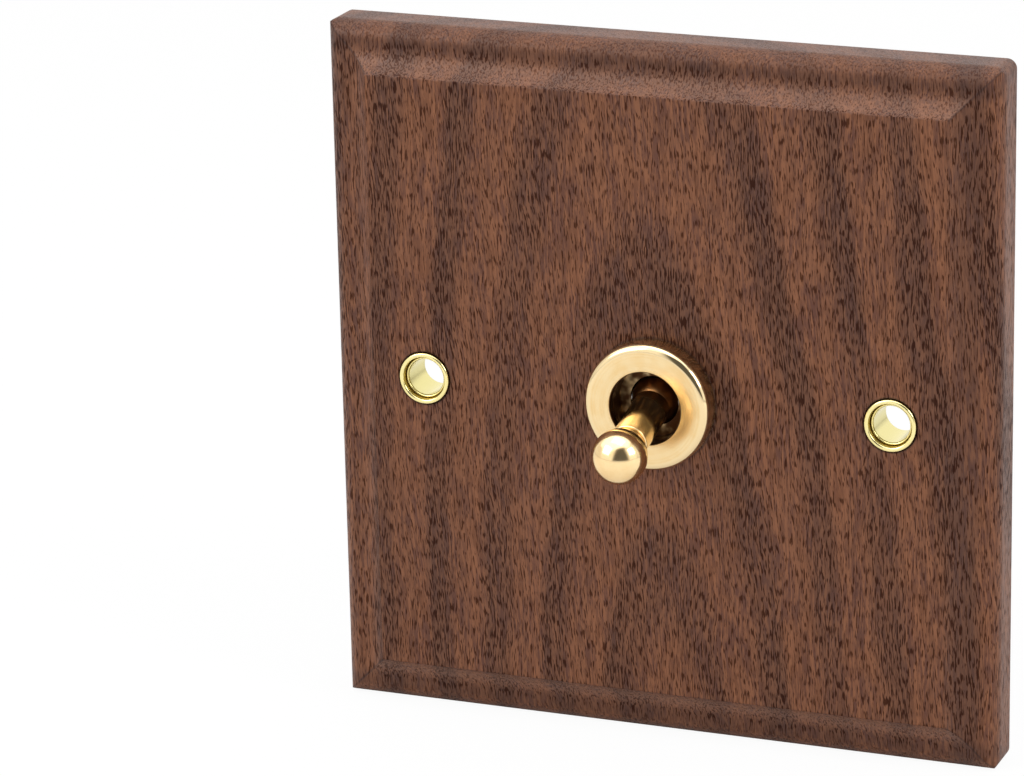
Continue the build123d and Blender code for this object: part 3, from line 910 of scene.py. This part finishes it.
def facing(place_at, target):
    """Turn that points an object's -Z at a target."""
    return (Vector(target) - Vector(place_at)).to_track_quat("-Z", "Y").to_euler()


def softbox(name, place_at, width, height, power):
    """Rectangular lamp aimed at the switch."""
    light = bpy.data.lights.new(name, "AREA")
    light.shape = "RECTANGLE"
    light.size, light.size_y, light.energy = width, height, power
    lamp = bpy.data.objects.new(name, light)
    lamp.location = place_at
    lamp.rotation_euler = facing(place_at, (0, 0, 0))
    bpy.context.scene.collection.objects.link(lamp)


def floor_material():
    """Pale floor: white to the camera, matt to gloss, keeping a soft shadow, and clear from below."""
    material = bpy.data.materials.new("floor")
    shader = Shader(material)
    matt = shader.node("ShaderNodeBsdfDiffuse", {}, (0.9, 0.9, 0.9, 1.0))
    glow = shader.node("ShaderNodeEmission", {}, (1.0, 1.0, 1.0, 1.0), 1.0)
    clear = shader.node("ShaderNodeBsdfTransparent", {})
    camera, gloss, through = light_paths(shader)
    seen = (camera + through).clamp() * 0.94
    lit = shader.node("ShaderNodeMixShader", {}, seen, matt, glow)
    under = shader.node("ShaderNodeNewGeometry", {}, output="Backfacing")
    both = shader.node("ShaderNodeMixShader", {}, under, lit, clear)
    shader.node("ShaderNodeOutputMaterial", {}, both)
    return material


def light_paths(shader):
    """1 for a ray of the camera, of gloss and of transmission."""
    names = ("Is Camera Ray", "Is Glossy Ray", "Is Transmission Ray")
    return [shader.node("ShaderNodeLightPath", {}, output=name) for name in names]


def window(shader, direction, middle, half_width, half_height, soft=0.32):
    """1 in a rectangle of sky about its middle direction, fading to 0 over the soft sides."""
    middle = Vector(middle).normalized()
    across = middle.cross(Vector((0, 0, 1))).normalized()
    upward = across.cross(middle)
    ahead = shader.dot(direction, middle)
    inside = ahead.between(0.0, 0.1)
    for axis, half in ((across, half_width), (upward, half_height)):
        share = shader.size(shader.dot(direction, axis) / ahead)
        inside = inside * (1 - share.between(half, half + soft))
    return inside


def studio_world(stage):
    """White where the camera looks; gloss sees that white, and a darker room with windows in front."""
    world = bpy.data.worlds.new("studio")
    bpy.context.scene.world = world
    shader = Shader(world)
    direction = shader.node("ShaderNodeTexCoord", {}, output="Generated")
    x, y, z = shader.split(direction)
    room = (x * 0.35 - y).between(0.0, 0.45) * z.between(-0.10, 0.04)
    overhead = window(shader, direction, **OVERHEAD_WINDOW)
    left = window(shader, direction, **LEFT_WINDOW)
    right = window(shader, direction, **RIGHT_WINDOW)
    bright = (overhead + left + right).clamp()
    behind = y.between(0.1, 0.5) * z.between(0.0, 0.2)
    windows = (bright + overhead * 0.8) * stage.windows
    reflected = (1 - room * (1 - stage.room) + behind * 0.3) * (1 - bright) + windows
    camera, gloss, through = light_paths(shader)
    gloss = (gloss + through).clamp()
    strength = camera + gloss * reflected + (1 - camera - gloss) * stage.surround
    background = shader.node("ShaderNodeBackground", {}, (1.0, 1.0, 1.0, 1.0), strength)
    shader.node("ShaderNodeOutputWorld", {}, background)


class SWITCH_OT_stage(bpy.types.Operator):
    """Set the floor, the studio light and the camera"""

    bl_idname = "switch.stage"
    bl_label = "Stage"

    def execute(self, context):
        stage = context.scene.switch_stage
        floor_mesh = bpy.data.meshes.new("floor")
        low = CAD_BOX[0][2]
        signs = ((-1, -1), (1, -1), (1, 1), (-1, 1))
        corners = [(across * FLOOR_HALF, back * FLOOR_HALF, low) for across, back in signs]
        floor_mesh.from_pydata(corners, [], [(0, 1, 2, 3)])
        floor_mesh.materials.append(floor_material())
        floor = bpy.data.objects.new("floor", floor_mesh)
        context.scene.collection.objects.link(floor)

        studio_world(stage)
        for (name, sizes), power in zip(SOFTBOXES.items(), (stage.key, stage.top, stage.side)):
            softbox(name, power=power, **sizes)

        camera = bpy.data.cameras.new("camera")
        camera.lens, camera.sensor_width, camera.shift_x = stage.lens, 36.0, stage.shift
        camera.clip_start, camera.clip_end = 0.01, 50.0
        view = bpy.data.objects.new("camera", camera)
        turn = (
            Matrix.Rotation(stage.azimuth, 3, "Z")
            @ Matrix.Rotation(math.pi / 2 - stage.elevation, 3, "X")
            @ Matrix.Rotation(stage.roll, 3, "Z")
        )
        view.rotation_euler = turn.to_euler()
        view.location = stage.camera_place
        context.scene.collection.objects.link(view)
        context.scene.camera = view
        context.scene.view_settings.view_transform = "Standard"
        return {"FINISHED"}


class SWITCH_PT_panel(bpy.types.Panel):
    """Sidebar panel with every piece, its settings and the stage"""

    bl_idname = "SWITCH_PT_panel"
    bl_label = "Toggle light switch"
    bl_space_type = "VIEW_3D"
    bl_region_type = "UI"
    bl_category = "Switch"

    def draw(self, context):
        for group in GROUPS:
            settings = getattr(context.scene, group)
            box = self.layout.box()
            for key in settings.__annotations__:
                box.prop(settings, key)
        for operator in OPERATORS:
            self.layout.operator(operator.bl_idname)


GROUPS = {
    "switch_walnut": WalnutSettings,
    "switch_brass": BrassSettings,
    "switch_inside": InsideSettings,
    "switch_stage": StageSettings,
}
OPERATORS = (
    SWITCH_OT_wooden_plate,
    SWITCH_OT_collar,
    SWITCH_OT_toggle,
    SWITCH_OT_screw_cups,
    SWITCH_OT_steel_parts,
    SWITCH_OT_plunger_spring,
    SWITCH_OT_contact_parts,
    SWITCH_OT_mouldings,
    SWITCH_OT_stage,
)


def register():
    for name, group in GROUPS.items():
        bpy.utils.register_class(group)
        setattr(bpy.types.Scene, name, bpy.props.PointerProperty(type=group))
    for operator in OPERATORS:
        bpy.utils.register_class(operator)
    bpy.utils.register_class(SWITCH_PT_panel)


def unregister():
    bpy.utils.unregister_class(SWITCH_PT_panel)
    for operator in reversed(OPERATORS):
        bpy.utils.unregister_class(operator)
    for name, group in GROUPS.items():
        delattr(bpy.types.Scene, name)
        bpy.utils.unregister_class(group)


def main():
    register()
    bpy.ops.switch.wooden_plate()
    bpy.ops.switch.collar()
    bpy.ops.switch.toggle()
    bpy.ops.switch.screw_cups()
    bpy.ops.switch.steel_parts()
    bpy.ops.switch.plunger_spring()
    bpy.ops.switch.contact_parts()
    bpy.ops.switch.mouldings()
    bpy.ops.switch.stage()


if __name__ == "__main__":
    main()
